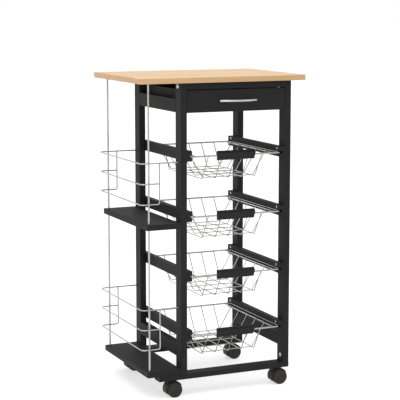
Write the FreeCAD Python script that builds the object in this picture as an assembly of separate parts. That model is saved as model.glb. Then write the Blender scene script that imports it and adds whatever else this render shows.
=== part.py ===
import FreeCAD, Part
import math
import os

os.makedirs("parts", exist_ok=True)

# Rolling kitchen island cart: a black wooden frame under a plain wooden top, one drawer, four
# pull-out wire baskets, a two-shelf side rack with wire guards, and four twin-wheel castors.
# Millimetres. +Z is up, -Y is the front that the drawer and baskets open to, +X is to the right.
# The origin is on the floor, under the middle of the overall box.

# ---- sizes of the top and the frame
table_width = 490.0
table_depth = 360.0
table_thick = 15.0
table_left_overhang = 120.0
table_corner_r = 8.0
frame_width = 330.0
frame_depth = 332.0
frame_height = 808.0
post_width = 18.0
post_depth = 36.0
base_rail_thick = 15.0
rack_rail_reach = 64.0
top_rail_height = 18.0
side_board_height = 36.0
apron_drop = 44.0
side_rail_rise = 60.0
tenon_length = 8.0
tenon_thick = 9.0
tenon_height = 26.0

# ---- sizes of the basket runners
runner_thick = 15.0
runner_height = 28.0
top_runner_gap = 102.0
lowest_runner_rise = 121.5
runner_count = 4
groove_depth = 8.0
groove_height = 6.5
groove_drop = 2.0
groove_stop = 3.0

# ---- sizes of the drawer
drawer_front_height = 60.0
drawer_front_thick = 15.0
drawer_front_gap = 1.0
drawer_top_gap = 2.0
drawer_side_thick = 12.0
drawer_side_height = 56.0
drawer_side_rise = 3.0
drawer_side_gap = 3.0
drawer_back_gap = 21.0
drawer_housing = 5.0
drawer_bottom_thick = 4.0
drawer_bottom_rise = 5.0
drawer_bottom_edge = 4.0
cleat_thick = 8.5
cleat_height = 10.0
cleat_rise = 14.0
cleat_setback = 17.0
cleat_back_gap = 6.0
cleat_groove_depth = 6.0
pull_spacing = 96.0
pull_length = 110.0
pull_reach = 24.0
pull_end_reach = 12.0
pull_bar_r = 3.0
pull_foot_r = 3.5

# ---- sizes of the baskets
loop_wire_r = 2.25
side_wire_r = 1.75
fine_wire_r = 1.25
loop_reach = 5.0
loop_corner_r = 8.0
rim_front_setback = 4.0
rim_rear_setback = 6.0
side_rim_inset = 14.0
basket_drop = 68.0
basket_end_slope = 43.0
basket_floor_width = 160.0
floor_wire_count = 5
cross_wire_count = 5
cross_wire_inset = 9.0
fine_bend_r = 4.0
handle_length = 112.0
handle_top = 13.0
handle_nose_rise = 7.0
handle_nose_reach = 9.0
handle_top_front = 1.0
handle_foot_drop = 12.5
handle_foot_back = 0.5
handle_back = 4.5
handle_mouth = 3.8

# ---- sizes of the side rack
rack_shelf_width = 98.0
rack_shelf_thick = 15.0
rack_middle_top = 433.0
rack_rod_r = 2.5
rack_rod_inset = 10.5
rack_rod_setback = 13.0
rack_rod_depth = 8.0
rack_rod_seat = 3.0
rack_stud_r = 1.75
rack_stud_length = 10.0
guard_wire_r = 1.75
guard_reach = 111.0
guard_setback = 7.0
guard_corner_r = 12.0
upper_guard_rise = 54.0
lower_guard_rise = 61.0
guard_wire_spacing = 55.0
guard_upright_reach = 59.0
guard_end_depth = 8.0
guard_bend_r = 5.0

# ---- sizes of the castors
castor_headroom = 6.0
castor_inset = 36.0
castor_trail = 10.0
castor_width = 40.0
wheel_r = 21.0
wheel_rim_thick = 3.0
wheel_hub_r = 6.0
wheel_recess = 8.0
wheel_cap_thick = 2.0
wheel_edge_r = 2.0
axle_r = 2.5
axle_end_gap = 3.0
stem_r = 4.0
stem_depth = 11.0
stem_collar_r = 8.0
stem_collar_thick = 2.0
hood_width = 13.0
hood_boss_r = 6.5
hood_web_inset = 4.0
hood_cover_thick = 2.0
hood_cover_width = 31.0
hood_cover_start = 30.0
hood_cover_end = 205.0
stem_foot_rise = 4.0

# ---- sizes of the fasteners
bolt_r = 3.0
bolt_head_r = 6.5
bolt_head_thick = 2.5
rail_bolt_tip = 3.0
base_bolt_tip = 2.0
base_bolt_sink = 5.0
barrel_nut_r = 6.0
top_nut_r = 5.0
top_nut_cover = 3.0
barrel_nut_inset = 14.0
barrel_nut_rise = 18.0
screw_r = 1.75
screw_head_r = 3.25
screw_head_depth = 2.2
runner_screw_bite = 13.0
runner_screw_rise = 8.0
shelf_screw_bite = 24.0
floor_shelf_screw_bite = 10.0
top_screw_bite = 12.0
top_screw_offset = 80.0
cleat_screw_bite = 13.5
cleat_screw_shift = 5.0
pull_screw_r = 2.0
pull_screw_head_r = 4.0
pull_screw_head_thick = 2.5
pull_screw_bite = 6.0

# ---- clearances
slide_clear = 0.4
joint_clear = 0.1
touch_clear = 0.05
bearing_clear = 0.05
castor_clear = 0.3
wheel_clear = 0.5
cover_clear = 1.0

# ---- planes that the sizes give
x_left = -table_width / 2 + table_left_overhang
x_right = x_left + frame_width
x_mid = (x_left + x_right) / 2
inner_left = x_left + post_width
inner_right = x_right - post_width
table_end_overhang = (table_depth - frame_depth) / 2
y_front = pull_reach - (pull_reach + frame_depth + table_end_overhang) / 2
y_rear = y_front + frame_depth
post_line_front = y_front + post_depth / 2
post_line_rear = y_rear - post_depth / 2
castor_height = 2 * wheel_r + castor_headroom
stem_bottom = wheel_r + stem_foot_rise
z_base = castor_height
z_post = z_base + base_rail_thick
z_table = z_base + frame_height
z_top_rail = z_table - top_rail_height
z_apron = z_table - apron_drop - side_board_height
z_side_rail = z_base + side_rail_rise
z_drawer_front = z_top_rail - drawer_top_gap - drawer_front_height
z_drawer_side = z_drawer_front + drawer_side_rise
z_cleat = z_drawer_side + cleat_rise
z_middle_shelf = z_base + rack_middle_top - rack_shelf_thick
z_lower_shelf = z_post
x_shelf = x_left - rack_shelf_width
x_rod = x_shelf + rack_rod_inset
rail_left_end = x_left - rack_rail_reach
drawer_back_face = y_front + drawer_front_thick
drawer_box_length = frame_depth - drawer_front_thick - drawer_back_gap

# ---- lengths of the fasteners, from what they go through and how far they bite
rail_bolt_length = post_width + barrel_nut_inset + top_nut_r + rail_bolt_tip
base_bolt_length = base_rail_thick - base_bolt_sink + barrel_nut_rise + barrel_nut_r + base_bolt_tip
top_nut_length = top_rail_height - top_nut_cover
runner_screw_length = runner_thick + runner_screw_bite
cleat_screw_length = cleat_thick + cleat_screw_bite
shelf_screw_length = post_width + shelf_screw_bite
floor_shelf_screw_length = base_rail_thick + floor_shelf_screw_bite
top_screw_length = top_rail_height + top_screw_bite

X = FreeCAD.Vector(1, 0, 0)
Y = FreeCAD.Vector(0, 1, 0)
Z = FreeCAD.Vector(0, 0, 1)


def vec(x, y, z):
    return FreeCAD.Vector(x, y, z)


def box(x0, x1, y0, y1, z0, z1):
    return Part.makeBox(x1 - x0, y1 - y0, z1 - z0, vec(x0, y0, z0))


def bar(start, direction, length, radius):
    return Part.makeCylinder(radius, length, start, direction)


def fuse(shapes):
    whole = shapes[0]
    for shape in shapes[1:]:
        whole = whole.fuse(shape)
    return whole.removeSplitter()


def group(shapes):
    return Part.makeCompound(shapes)


def save(node, shape):
    shape.exportStep("parts/" + node + ".step")


def soften(shape, radius, test):
    """Rounds the edges that the test picks."""
    edges = [edge for edge in shape.Edges if test(edge)]
    return shape.makeFillet(radius, edges)


def long_edge(edge):
    return edge.Length > post_width


# ---- bent wire
def bent_path(points, bend_r):
    """A polyline with every corner turned into an arc."""
    bends = {}
    for i in range(1, len(points) - 1):
        here = points[i]
        back = (points[i - 1] - here).normalize()
        ahead = (points[i + 1] - here).normalize()
        half = back.getAngle(ahead) / 2
        reach = bend_r / math.tan(half)
        middle = (back + ahead).normalize()
        bend = here + middle * (bend_r / math.sin(half) - bend_r)
        bends[i] = (here + back * reach, bend, here + ahead * reach)
    edges = []
    for i in range(len(points) - 1):
        start = bends[i][2] if i in bends else points[i]
        end = bends[i + 1][0] if i + 1 in bends else points[i + 1]
        edges.append(Part.makeLine(start, end))
        if i + 1 in bends:
            edges.append(Part.Arc(*bends[i + 1]).toShape())
    return edges


def swept(edges, wire_r):
    """A round wire along a row of joined edges."""
    start = edges[0].valueAt(edges[0].FirstParameter)
    run = edges[0].tangentAt(edges[0].FirstParameter)
    section = Part.Wire([Part.makeCircle(wire_r, start, run)])
    return Part.Wire(edges).makePipeShell([section], True, False)


def bent_wire(points, wire_r, bend_r):
    return swept(bent_path(points, bend_r), wire_r)


# ---- fasteners: each is a point on the seat, a direction to drive in, and a length
def countersunk(seat, direction, length, shank_r, head_r, head_depth):
    head = Part.makeCone(head_r, shank_r, head_depth, seat, direction)
    return head.fuse(bar(seat, direction, length, shank_r)).removeSplitter()


def wood_screw(spot):
    seat, direction, length = spot
    return countersunk(seat, direction, length, screw_r, screw_head_r, screw_head_depth)


def wood_screw_hole(spot):
    seat, direction, length = spot
    return countersunk(seat, direction, length + joint_clear, screw_r + joint_clear,
                       screw_head_r + joint_clear, screw_head_depth + joint_clear)


def runner_levels():
    """Middle height of each runner, from the top one down, evenly spaced."""
    highest = z_apron - top_runner_gap - runner_height / 2
    lowest = z_base + lowest_runner_rise
    spacing = (highest - lowest) / (runner_count - 1)
    return [highest - spacing * i for i in range(runner_count)]


def sides():
    """Inner face of the posts and the direction from it into the posts, left then right."""
    return [(inner_left, -X), (inner_right, X)]


def wood_screw_spots():
    spots = []
    for y in (post_line_front, post_line_rear):
        for face, outward in sides():
            runner_face = face - outward.x * runner_thick
            cleat_face = face - outward.x * cleat_thick
            for z in runner_levels():
                spots.append((vec(runner_face, y, z + runner_screw_rise), outward, runner_screw_length))
            inward = cleat_screw_shift if y < (y_front + y_rear) / 2 else -cleat_screw_shift
            seat = vec(cleat_face, y + inward, z_cleat + cleat_height / 2)
            spots.append((seat, outward, cleat_screw_length))
        shelf_line = z_middle_shelf + rack_shelf_thick / 2
        spots.append((vec(inner_left, y, shelf_line), -X, shelf_screw_length))
        for x in (rail_left_end + barrel_nut_inset, x_left - barrel_nut_inset):
            spots.append((vec(x, y, z_base), Z, floor_shelf_screw_length))
        for x in (x_mid - top_screw_offset, x_mid + top_screw_offset):
            spots.append((vec(x, y, z_top_rail), Z, top_screw_length))
    return spots


def rail_bolt_spots():
    """Horizontal bolts through the posts into the ends of the top rails."""
    z = z_top_rail + top_rail_height / 2
    return [(vec(x, y, z), run) for y in (post_line_front, post_line_rear)
            for x, run in ((x_left, X), (x_right, -X))]


def base_bolt_spots():
    """Upright bolts through the base rails into the feet of the posts."""
    z = z_base + base_bolt_sink
    return [vec(x, y, z) for y in (post_line_front, post_line_rear)
            for x in (x_left + post_width / 2, x_right - post_width / 2)]


def capped_bolt(seat, direction, length):
    outer = seat - direction * bolt_head_thick
    head = bar(outer, direction, bolt_head_thick, bolt_head_r)
    head = soften(head, bolt_head_thick / 3,
                  lambda edge: (edge.BoundBox.Center - outer).Length < touch_clear)
    return head.fuse(bar(seat, direction, length, bolt_r)).removeSplitter()


def frame_bolts():
    bolts = [capped_bolt(seat, run, rail_bolt_length) for seat, run in rail_bolt_spots()]
    bolts += [capped_bolt(seat, Z, base_bolt_length) for seat in base_bolt_spots()]
    return group(bolts)


def barrel_nuts():
    nuts = []
    for seat, run in rail_bolt_spots():
        foot = seat + run * (post_width + barrel_nut_inset)
        nut = bar(vec(foot.x, foot.y, z_top_rail), Z, top_nut_length, top_nut_r)
        nuts.append(nut.cut(bar(seat, run, rail_bolt_length + joint_clear, bolt_r + touch_clear)))
    for seat in base_bolt_spots():
        left = seat.x < x_mid
        face = inner_left if left else inner_right
        z = z_post + barrel_nut_rise
        nut = bar(vec(face, seat.y, z), -X if left else X, post_width - bolt_head_thick, barrel_nut_r)
        nuts.append(nut.cut(bar(seat, Z, base_bolt_length + joint_clear, bolt_r + touch_clear)))
    return group(nuts)


def fastener_holes():
    """Every hole that screws, bolts, nuts, rods and guard ends need in the wood."""
    holes = [wood_screw_hole(spot) for spot in wood_screw_spots()]
    for seat, run in rail_bolt_spots():
        holes.append(bar(seat, run, rail_bolt_length + joint_clear, bolt_r + joint_clear))
        foot = seat + run * (post_width + barrel_nut_inset)
        holes.append(bar(vec(foot.x, foot.y, z_top_rail), Z, top_nut_length + joint_clear,
                         top_nut_r + joint_clear))
    for seat in base_bolt_spots():
        left = seat.x < x_mid
        face = inner_left if left else inner_right
        nut_run = -X if left else X
        holes.append(bar(seat, Z, base_bolt_length + joint_clear, bolt_r + joint_clear))
        holes.append(bar(vec(seat.x, seat.y, z_base), Z, base_bolt_sink, bolt_head_r + joint_clear))
        holes.append(bar(vec(face, seat.y, z_post + barrel_nut_rise), nut_run,
                         post_width - bolt_head_thick + joint_clear, barrel_nut_r + joint_clear))
    for x, y in castor_spots().values():
        holes.append(bar(vec(x, y, z_base), Z, stem_depth + joint_clear, stem_r + joint_clear))
    for y in rod_lines():
        hole_r = rack_rod_r + joint_clear
        holes.append(bar(vec(x_rod, y, z_table), Z, rack_rod_depth + joint_clear, hole_r))
        lower_top = z_lower_shelf + rack_shelf_thick
        holes.append(bar(vec(x_rod, y, lower_top), -Z, rack_rod_depth + joint_clear, hole_r))
        middle_top = z_middle_shelf + rack_shelf_thick
        holes.append(bar(vec(x_rod, y, z_middle_shelf), Z, rack_shelf_thick,
                         rack_stud_r + joint_clear))
        holes.append(bar(vec(x_rod, y, middle_top), -Z, rack_rod_seat, hole_r))
        holes.append(bar(vec(x_rod, y, z_middle_shelf), Z, rack_rod_seat, hole_r))
    for low in guard_heights().values():
        z = low + 2 * guard_wire_spacing
        for y in guard_lines():
            holes.append(bar(vec(x_left, y, z), X, guard_end_depth + joint_clear,
                             guard_wire_r + joint_clear))
    return holes


def drilled(shape):
    """Takes out of a board every fastener hole that reaches it."""
    for hole in fastener_holes():
        if shape.BoundBox.intersect(hole.BoundBox):
            shape = shape.cut(hole)
    return shape


# ---- top and frame
def tabletop():
    y0 = y_front - table_end_overhang
    top = box(-table_width / 2, table_width / 2, y0, y0 + table_depth, z_table, z_table + table_thick)
    top = soften(top, table_corner_r, lambda edge: abs(edge.Length - table_thick) < touch_clear)
    rim = z_table + table_thick - touch_clear
    top = soften(top, table_thick / 10, lambda edge: edge.BoundBox.ZMin > rim)
    return drilled(top)


def post_spots():
    """Low x and low y of each post."""
    left = x_left
    right = x_right - post_width
    front = y_front
    rear = y_rear - post_depth
    return {"front_left": (left, front), "front_right": (right, front),
            "rear_left": (left, rear), "rear_right": (right, rear)}


def post(name):
    x, y = post_spots()[name]
    board = box(x, x + post_width, y, y + post_depth, z_post, z_table)
    board = soften(board, 1.0, long_edge)
    for z in (z_apron, z_side_rail):
        for side in ("left", "right"):
            board = board.cut(side_board(side, z, joint_clear))
    return drilled(board)


def side_board(side, z, grow=0.0):
    """A board between the front and rear posts, with a stub tenon on each end."""
    x = x_left if side == "left" else x_right - post_width
    y0 = y_front + post_depth
    y1 = y_rear - post_depth
    board = box(x, x + post_width, y0, y1, z, z + side_board_height)
    middle = x + post_width / 2
    centre = z + side_board_height / 2
    tenon = box(middle - tenon_thick / 2 - grow, middle + tenon_thick / 2 + grow,
                y0 - tenon_length - grow, y1 + tenon_length + grow,
                centre - tenon_height / 2 - grow, centre + tenon_height / 2 + grow)
    return board.fuse(tenon).removeSplitter()


def base_rail(y):
    rail = box(rail_left_end, x_right, y, y + post_depth, z_base, z_post)
    return drilled(soften(rail, 1.0, lambda edge: edge.Length > frame_width))


def top_rail(y):
    return drilled(box(inner_left + touch_clear, inner_right - touch_clear, y, y + post_depth,
                       z_top_rail, z_table))


def runner(side, z):
    face, outward = sides()[0 if side == "left" else 1]
    inner = face - outward.x * runner_thick
    x0 = min(face, inner)
    board = box(x0, x0 + runner_thick, y_front, y_rear, z - runner_height / 2, z + runner_height / 2)
    deep = inner + outward.x * groove_depth
    middle = z - groove_drop
    groove = box(min(inner, deep), max(inner, deep), y_front, y_rear - groove_stop,
                 middle - groove_height / 2, middle + groove_height / 2)
    return drilled(board.cut(groove))


def drawer_cleat(side):
    face, outward = sides()[0 if side == "left" else 1]
    inner = face - outward.x * cleat_thick
    board = box(min(face, inner), max(face, inner), y_front + cleat_setback, y_rear - cleat_back_gap,
                z_cleat, z_cleat + cleat_height)
    return drilled(board)


# ---- drawer
def drawer_side_faces(side):
    """Outer and inner face of a drawer side."""
    gap = drawer_side_gap
    if side == "left":
        return inner_left + gap, inner_left + gap + drawer_side_thick
    return inner_right - gap, inner_right - gap - drawer_side_thick


def drawer_side_blank(side, grow=0.0):
    outer, inner = drawer_side_faces(side)
    return box(min(outer, inner) - grow, max(outer, inner) + grow,
               drawer_back_face - drawer_housing - grow, drawer_back_face + drawer_box_length,
               z_drawer_side - grow, z_drawer_side + drawer_side_height + grow)


def drawer_back_blank(grow=0.0):
    left = drawer_side_faces("left")[1]
    right = drawer_side_faces("right")[1]
    y1 = drawer_back_face + drawer_box_length - drawer_side_thick
    return box(left - drawer_housing - grow, right + drawer_housing + grow,
               y1 - drawer_side_thick - grow, y1 + grow,
               z_drawer_side + drawer_bottom_rise + drawer_bottom_thick + touch_clear - grow,
               z_drawer_side + drawer_side_height + grow)


def drawer_bottom_blank(grow=0.0):
    left = drawer_side_faces("left")[1]
    right = drawer_side_faces("right")[1]
    z0 = z_drawer_side + drawer_bottom_rise
    edge = drawer_bottom_edge
    return box(left - edge - grow, right + edge + grow, drawer_back_face - edge - grow,
               drawer_back_face + drawer_box_length - drawer_side_thick,
               z0 - grow, z0 + drawer_bottom_thick + grow)


def drawer_side(side):
    board = drawer_side_blank(side)
    outer, inner = drawer_side_faces(side)
    inward = 1 if side == "left" else -1
    deep = outer + inward * cleat_groove_depth
    groove = box(min(outer, deep), max(outer, deep), drawer_back_face, drawer_back_face
                 + drawer_box_length, z_cleat - slide_clear, z_cleat + cleat_height + slide_clear)
    board = board.cut(groove)
    board = board.cut(drawer_back_blank(joint_clear))
    return board.cut(drawer_bottom_blank(joint_clear))


def drawer_front():
    board = box(inner_left + drawer_front_gap, inner_right - drawer_front_gap, y_front,
                drawer_back_face, z_drawer_front, z_drawer_front + drawer_front_height)
    board = soften(board, 1.0, lambda edge: edge.BoundBox.YMax < y_front + touch_clear)
    for side in ("left", "right"):
        board = board.cut(drawer_side_blank(side, joint_clear))
    board = board.cut(drawer_bottom_blank(joint_clear))
    for x in pull_lines():
        board = board.cut(bar(vec(x, y_front, pull_height()), Y, drawer_front_thick,
                              pull_screw_r + joint_clear))
    return board


def pull_lines():
    return [x_mid - pull_spacing / 2, x_mid + pull_spacing / 2]


def pull_height():
    return z_drawer_front + drawer_front_height / 2


def drawer_pull():
    """An arched bow on two round feet."""
    z = pull_height()
    middle_y = y_front - pull_reach + pull_bar_r
    end_y = y_front - pull_end_reach + pull_bar_r
    half = pull_length / 2
    curve = Part.Arc(vec(x_mid - half, end_y, z), vec(x_mid, middle_y, z),
                     vec(x_mid + half, end_y, z)).toShape()
    centre = curve.Curve.Center
    parts = [swept([curve], pull_bar_r)]
    for x in pull_lines():
        rise = math.sqrt(curve.Curve.Radius ** 2 - (x - centre.x) ** 2)
        parts.append(bar(vec(x, y_front, z), -Y, y_front - (centre.y - rise), pull_foot_r))
    pull = fuse(parts)
    for x in pull_lines():
        pull = pull.cut(bar(vec(x, y_front, z), -Y, pull_screw_bite + joint_clear,
                            pull_screw_r + joint_clear))
    return pull


def pull_screws():
    screws = []
    for x in pull_lines():
        seat = vec(x, drawer_back_face, pull_height())
        head = bar(seat, Y, pull_screw_head_thick, pull_screw_head_r)
        shank = bar(seat, -Y, drawer_front_thick + pull_screw_bite, pull_screw_r)
        screws.append(head.fuse(shank).removeSplitter())
    return group(screws)


# ---- baskets
def rim_height(level):
    """Centre of the rim wire, which rests near the floor of the runner groove."""
    floor = level - groove_drop - groove_height / 2
    return floor + slide_clear + loop_wire_r


def rim_lines():
    return y_front + rim_front_setback, y_rear - rim_rear_setback


def floor_wire_lines():
    step = basket_floor_width / (floor_wire_count - 1)
    return [x_mid - basket_floor_width / 2 + step * i for i in range(floor_wire_count)]


def rim_loop(z):
    """The closed rim wire, whose two long sides ride in the runner grooves."""
    x0 = inner_left + runner_thick - loop_reach
    x1 = inner_right - runner_thick + loop_reach
    y0, y1 = rim_lines()
    start = vec(x_mid, y0, z)
    corners = [vec(x1, y0, z), vec(x1, y1, z), vec(x0, y1, z), vec(x0, y0, z)]
    return bent_wire([start] + corners + [start], loop_wire_r, loop_corner_r)


def side_rim_x():
    return (inner_left + runner_thick + side_rim_inset, inner_right - runner_thick - side_rim_inset)


def side_rims(z):
    y0, y1 = rim_lines()
    gap = loop_wire_r + touch_clear
    return [bar(vec(x, y0 + gap, z), Y, y1 - y0 - 2 * gap, side_wire_r) for x in side_rim_x()]


def floor_wire(x, z):
    """Runs down the front wall, along the floor and up the rear wall."""
    y0, y1 = rim_lines()
    slant = math.atan2(basket_end_slope, basket_drop)
    gap = loop_wire_r + fine_wire_r + touch_clear
    in_step = gap * math.cos(slant)
    up_step = gap * math.sin(slant)
    low = z - basket_drop + fine_wire_r
    foot = in_step + (up_step + z - low) * math.tan(slant)
    points = [vec(x, y0 + in_step, z + up_step), vec(x, y0 + foot, low),
              vec(x, y1 - foot, low), vec(x, y1 - in_step, z + up_step)]
    return bent_wire(points, fine_wire_r, fine_bend_r)


def cross_wire(y, z):
    """Runs down one side wall, across on top of the floor wires and up the other side wall."""
    left, right = side_rim_x()
    low = z - basket_drop + 3 * fine_wire_r + touch_clear
    slope_x = left - x_mid + basket_floor_width / 2
    slant = math.atan2(-slope_x, z - low)
    gap = side_wire_r + fine_wire_r + touch_clear
    in_step = gap * math.cos(slant)
    up_step = gap * math.sin(slant)
    foot = in_step + (up_step + z - low) * math.tan(slant)
    points = [vec(left + in_step, y, z + up_step), vec(left + foot, y, low),
              vec(right - foot, y, low), vec(right - in_step, y, z + up_step)]
    return bent_wire(points, fine_wire_r, fine_bend_r)


def cross_wire_lines():
    """Evenly spaced along the basket's floor, clear of the bends at its ends."""
    y0, y1 = rim_lines()
    first = y0 + basket_end_slope + cross_wire_inset
    last = y1 - basket_end_slope - cross_wire_inset
    spacing = (last - first) / (cross_wire_count - 1)
    return [first + spacing * i for i in range(cross_wire_count)]


def basket_wire(level):
    z = rim_height(level)
    wires = [rim_loop(z)] + side_rims(z)
    wires += [floor_wire(x, z) for x in floor_wire_lines()]
    wires += [cross_wire(y, z) for y in cross_wire_lines()]
    return group(wires)


def basket_handle(level):
    """A long grip pushed over the front rim wire, slotted at the back for the floor wires."""
    z = rim_height(level)
    y = rim_lines()[0]
    x0 = x_mid - handle_length / 2
    outline = [(handle_back, handle_top), (-handle_top_front, handle_top),
               (-handle_nose_reach, handle_nose_rise), (handle_foot_back, -handle_foot_drop),
               (handle_back, -handle_foot_drop)]
    corners = [vec(x0, y + dy, z + dz) for dy, dz in outline]
    grip = Part.Face(Part.makePolygon(corners + corners[:1])).extrude(X * handle_length)
    grip = soften(grip, 1.0, lambda edge: True)
    grip = grip.cut(bar(vec(x0, y, z), X, handle_length, loop_wire_r + touch_clear))
    grip = grip.cut(box(x0, x0 + handle_length, y, y + handle_back, z - handle_mouth / 2,
                        z + handle_mouth / 2))
    for x in floor_wire_lines():
        if abs(x - x_mid) < handle_length / 2:
            slot = fine_wire_r + slide_clear
            grip = grip.cut(box(x - slot, x + slot, y, y + handle_back, z - handle_foot_drop,
                                z + loop_wire_r + fine_wire_r))
    return grip


# ---- side rack
def rack_shelf(z):
    shelf = box(x_shelf, x_left - touch_clear, y_front, y_rear, z, z + rack_shelf_thick)
    shelf = soften(shelf, 1.0, lambda edge: edge.BoundBox.XMax < x_shelf + touch_clear)
    return drilled(shelf)


def rod_lines():
    return [y_front + rack_rod_setback, y_rear - rack_rod_setback]


def rack_rods():
    """Upper rods with a stud that goes through the middle shelf into the lower rods."""
    rods = []
    upper_foot = z_middle_shelf + rack_shelf_thick - rack_rod_seat
    lower_head = z_middle_shelf + rack_rod_seat
    for y in rod_lines():
        upper = bar(vec(x_rod, y, upper_foot), Z, z_table + rack_rod_depth - upper_foot, rack_rod_r)
        stud = bar(vec(x_rod, y, upper_foot), -Z, upper_foot - lower_head + rack_stud_length, rack_stud_r)
        rods.append(upper.fuse(stud).removeSplitter())
        foot = z_lower_shelf + rack_shelf_thick - rack_rod_depth
        lower = bar(vec(x_rod, y, foot), Z, lower_head - foot, rack_rod_r)
        socket = bar(vec(x_rod, y, lower_head), -Z, rack_stud_length + joint_clear,
                     rack_stud_r + touch_clear)
        rods.append(lower.cut(socket))
    return group(rods)


def guard_heights():
    """Height of the lowest wire of each guard."""
    return {"upper": z_middle_shelf + rack_shelf_thick + upper_guard_rise,
            "lower": z_lower_shelf + rack_shelf_thick + lower_guard_rise}


def guard_lines():
    return [y_front + guard_setback, y_rear - guard_setback]


def rack_guard(low):
    """Three wires around a shelf: the lowest turns up at its ends to carry the other two."""
    x_in = x_left + guard_end_depth
    x_out = x_left - guard_reach
    x_up = x_left - guard_upright_reach
    x_turn = x_up - guard_corner_r
    x_weld = x_up - guard_wire_r - touch_clear
    y0, y1 = guard_lines()
    middle = low + guard_wire_spacing
    high = middle + guard_wire_spacing
    stop = high - guard_wire_r - touch_clear

    def around(x_end, z):
        return [vec(x_end, y0, z), vec(x_out, y0, z), vec(x_out, y1, z), vec(x_end, y1, z)]

    top = bent_wire(around(x_in, high), guard_wire_r, guard_corner_r)
    ring = bent_wire(around(x_weld, middle), guard_wire_r, guard_corner_r)
    rise = bent_path([vec(x_up, y0, stop), vec(x_up, y0, low), vec(x_turn, y0, low)], guard_bend_r)
    sweep = bent_path(around(x_turn, low), guard_corner_r)
    fall = bent_path([vec(x_turn, y1, low), vec(x_up, y1, low), vec(x_up, y1, stop)], guard_bend_r)
    return group([top, ring, swept(rise + sweep + fall, guard_wire_r)])


# ---- castors
def castor_spots():
    """Swivel axis of each castor."""
    left = rail_left_end + castor_inset
    right = x_right - castor_inset
    return {"front_left": (left, post_line_front), "front_right": (right, post_line_front),
            "rear_left": (left, post_line_rear), "rear_right": (right, post_line_rear)}


def castor_stems():
    stems = []
    for x, y in castor_spots().values():
        shank = bar(vec(x, y, stem_bottom), Z, z_base + stem_depth - stem_bottom, stem_r)
        collar = bar(vec(x, y, z_base - stem_collar_thick), Z, stem_collar_thick, stem_collar_r)
        stems.append(shank.fuse(collar).removeSplitter())
    return group(stems)


def castor_sector(centre, radius, width):
    """A slice of a disc on the axle line, over the top and down the stem side of the wheels."""
    sweep = hood_cover_end - hood_cover_start
    disc = Part.makeCylinder(radius, width, vec(0, 0, -width / 2), Z, sweep)
    disc.rotate(vec(0, 0, 0), Z, hood_cover_start)
    disc.rotate(vec(0, 0, 0), X, 90)
    disc.translate(centre)
    return disc


def castor_hood(x, y):
    """Central web and stem boss, with a curved cover over both wheels."""
    centre = vec(x + castor_trail, y, wheel_r)
    cover_in = wheel_r + cover_clear
    cover_out = cover_in + hood_cover_thick
    top = z_base - stem_collar_thick - castor_clear
    web = bar(centre + Y * (hood_width / 2), -Y, hood_width, wheel_r - hood_web_inset)
    neck = castor_sector(centre, cover_out, hood_width)
    cover = castor_sector(centre, cover_out, hood_cover_width)
    cover = cover.cut(bar(centre + Y * hood_cover_width, -Y, 2 * hood_cover_width, cover_in))
    boss = bar(vec(x, y, wheel_r), Z, top - wheel_r, hood_boss_r)
    hood = fuse([web, neck, cover, boss])
    hood = hood.cut(bar(vec(x, y, stem_bottom - castor_clear), Z, castor_height, stem_r + bearing_clear))
    return hood.cut(bar(centre + Y * castor_width, -Y, 2 * castor_width, axle_r + bearing_clear))


def castor_axle(x, y):
    length = castor_width - 2 * axle_end_gap
    return bar(vec(x + castor_trail, y - length / 2, wheel_r), Y, length, axle_r)


def castor_wheel(centre, out):
    """One wheel, facing +Y or -Y, hollow on the side next to the hood."""
    inner = centre + out * (hood_width / 2 + wheel_clear)
    width = castor_width / 2 - hood_width / 2 - wheel_clear
    wheel = bar(inner, out, width, wheel_r)
    wheel = soften(wheel, wheel_edge_r, lambda edge: len(edge.Vertexes) == 1)
    ring = bar(inner, out, wheel_recess, wheel_r - wheel_rim_thick)
    ring = ring.cut(bar(inner, out, wheel_recess, wheel_hub_r))
    bore = bar(centre, out, castor_width / 2 - wheel_cap_thick, axle_r + touch_clear / 5)
    return wheel.cut(ring).cut(bore)


def castor_wheels(x, y):
    centre = vec(x + castor_trail, y, wheel_r)
    return group([castor_wheel(centre, -Y), castor_wheel(centre, Y)])


# ---- write every piece
save("tabletop", tabletop())
for name in post_spots():
    save("post_" + name, post(name))
save("base_rail_front", base_rail(y_front))
save("base_rail_rear", base_rail(y_rear - post_depth))
save("top_rail_front", top_rail(y_front))
save("top_rail_rear", top_rail(y_rear - post_depth))
for side in ("left", "right"):
    save("apron_" + side, side_board(side, z_apron))
    save("side_rail_" + side, side_board(side, z_side_rail))
    save("drawer_cleat_" + side, drawer_cleat(side))
    save("drawer_side_" + side, drawer_side(side))
for number, level in enumerate(runner_levels(), 1):
    for side in ("left", "right"):
        save("runner_%d_%s" % (number, side), runner(side, level))
    save("basket_%d_wire" % number, basket_wire(level))
    save("basket_%d_handle" % number, basket_handle(level))
save("drawer_front", drawer_front())
save("drawer_back", drawer_back_blank())
save("drawer_bottom", drawer_bottom_blank())
save("drawer_pull", drawer_pull())
save("pull_screws", pull_screws())
save("rack_shelf_middle", rack_shelf(z_middle_shelf))
save("rack_shelf_lower", rack_shelf(z_lower_shelf))
save("rack_rods", rack_rods())
for name, low in guard_heights().items():
    save("rack_guard_" + name, rack_guard(low))
save("frame_bolts", frame_bolts())
save("barrel_nuts", barrel_nuts())
save("wood_screws", group([wood_screw(spot) for spot in wood_screw_spots()]))
save("castor_stems", castor_stems())
for name, (x, y) in castor_spots().items():
    save("castor_" + name + "_hood", castor_hood(x, y))
    save("castor_" + name + "_axle", castor_axle(x, y))
    save("castor_" + name + "_wheels", castor_wheels(x, y))
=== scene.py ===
import math

import bmesh
import bpy
from bpy.props import FloatProperty, FloatVectorProperty, IntProperty, PointerProperty
from bpy.types import Operator, Panel, PropertyGroup
from mathutils import Matrix, Vector


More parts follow.
